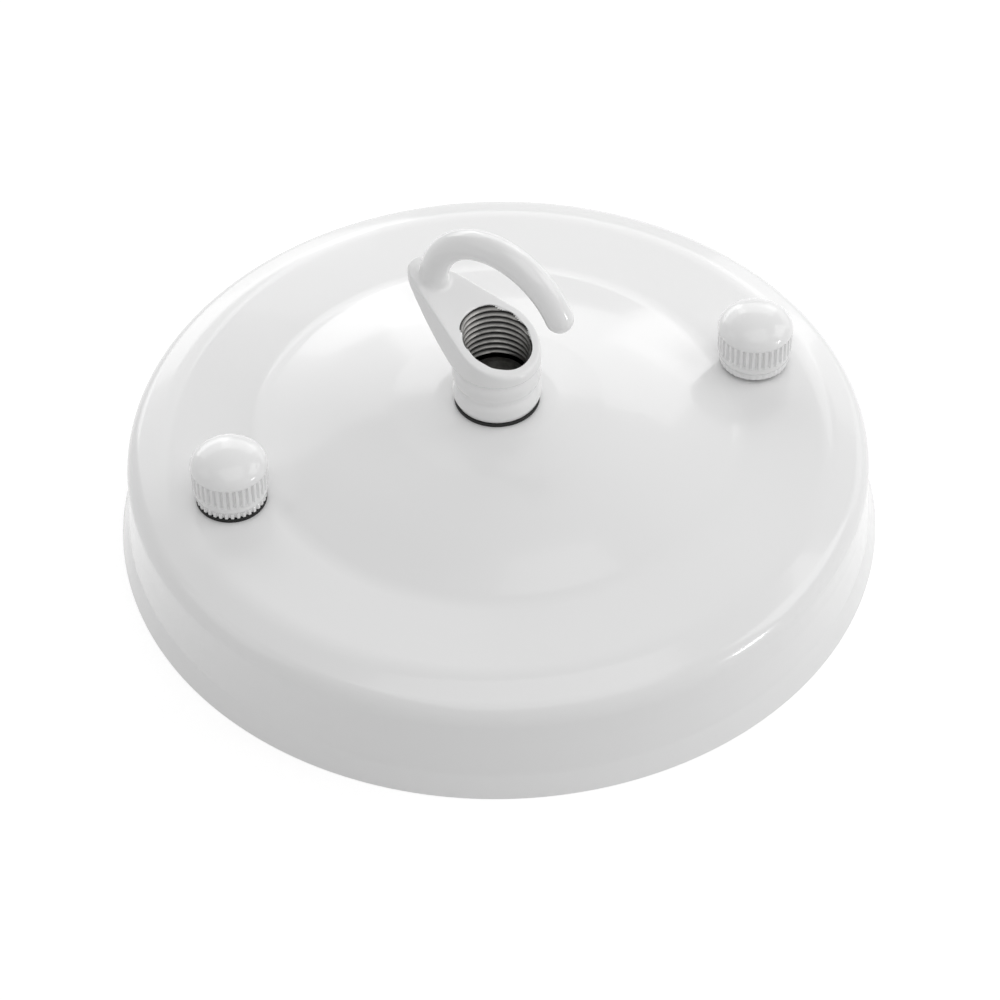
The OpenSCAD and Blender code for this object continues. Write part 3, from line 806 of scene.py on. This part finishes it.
def make_set():
    """White surroundings, a pale floor that keeps the shadow, and the lamps."""
    world = bpy.data.worlds.new("studio")
    bpy.context.scene.world = world
    world.use_nodes = True
    tree = world.node_tree
    light = add(tree, "ShaderNodeBackground", inputs={"Color": (1, 1, 1, 1), "Strength": WORLD_LIGHT})
    white = add(tree, "ShaderNodeBackground", inputs={"Color": (1, 1, 1, 1), "Strength": 1.0})
    mix = add(tree, "ShaderNodeMixShader", inputs={
        0: seen_directly(tree), 1: light.outputs[0], 2: white.outputs[0]})
    tree.links.new(mix.outputs[0], tree.nodes["World Output"].inputs["Surface"])

    far = FLOOR_HALF
    floor = mesh_object("floor", [(-far, -far, 0), (far, -far, 0), (far, far, 0), (-far, far, 0)],
                        [(0, 1, 2, 3)], [floor_paper()])
    for name, lamp in LAMPS.items():
        make_light(name, *lamp)
    bpy.context.scene.view_settings.view_transform = "Standard"


def floor_paper():
    """White paper: it lights the object as paper does, and looks white with a faint shadow."""
    material = bpy.data.materials.new("floor_paper")
    material.use_nodes = True
    tree = material.node_tree
    paper = add(tree, "ShaderNodeBsdfDiffuse", inputs={"Color": linear("#ececec")})
    shaded = add(tree, "ShaderNodeBsdfDiffuse", inputs={"Color": linear("#b4b4b4")})
    glow = add(tree, "ShaderNodeEmission", inputs={"Color": (1, 1, 1, 1), "Strength": FLOOR_GLOW})
    both = add(tree, "ShaderNodeAddShader", inputs={0: shaded.outputs[0], 1: glow.outputs[0]})
    mix = add(tree, "ShaderNodeMixShader", inputs={
        0: seen_directly(tree), 1: paper.outputs[0], 2: both.outputs[0]})
    tree.links.new(mix.outputs[0], tree.nodes["Material Output"].inputs["Surface"])
    return material


make_camera()
make_cover()
make_hook()
make_nipple()
make_thumb_nut(-1, "left_nut", "left_thumb_nut", LEFT_TEETH)
make_thumb_nut(1, "right_nut", "right_thumb_nut", RIGHT_TEETH)
for part, stud_x in (("left_stud", -STUD_X), ("right_stud", STUD_X)):
    make_screw(part, STUD_R, STUD_PITCH, STUD_L, STUD_HEAD_R, STUD_HEAD_H,
               stud_x, STRAP_RAISE, 1, ZINC, "zinc_plate")
make_screw("earth_screw", EARTH_R, EARTH_PITCH, EARTH_L, EARTH_HEAD_R, EARTH_HEAD_H,
           -EARTH_X, STRAP_TOP + EARTH_WASHER_H, -1, BRASS, "brass")
for part in ("mounting_strap", "nipple_locknut", "nipple_washer", "left_stud_nut", "right_stud_nut",
             "left_spring_washer", "right_spring_washer"):
    soften(part, 0.12, ZINC, "zinc_plate")
make_wide_washer("left_nut_washer", -STUD_X)
for part in ("hook_washer", "right_nut_washer"):
    soften(part, 0.08, FIBRE, "black_fibre")
soften("earth_washer", 0.1, BRASS, "brass")
make_set()
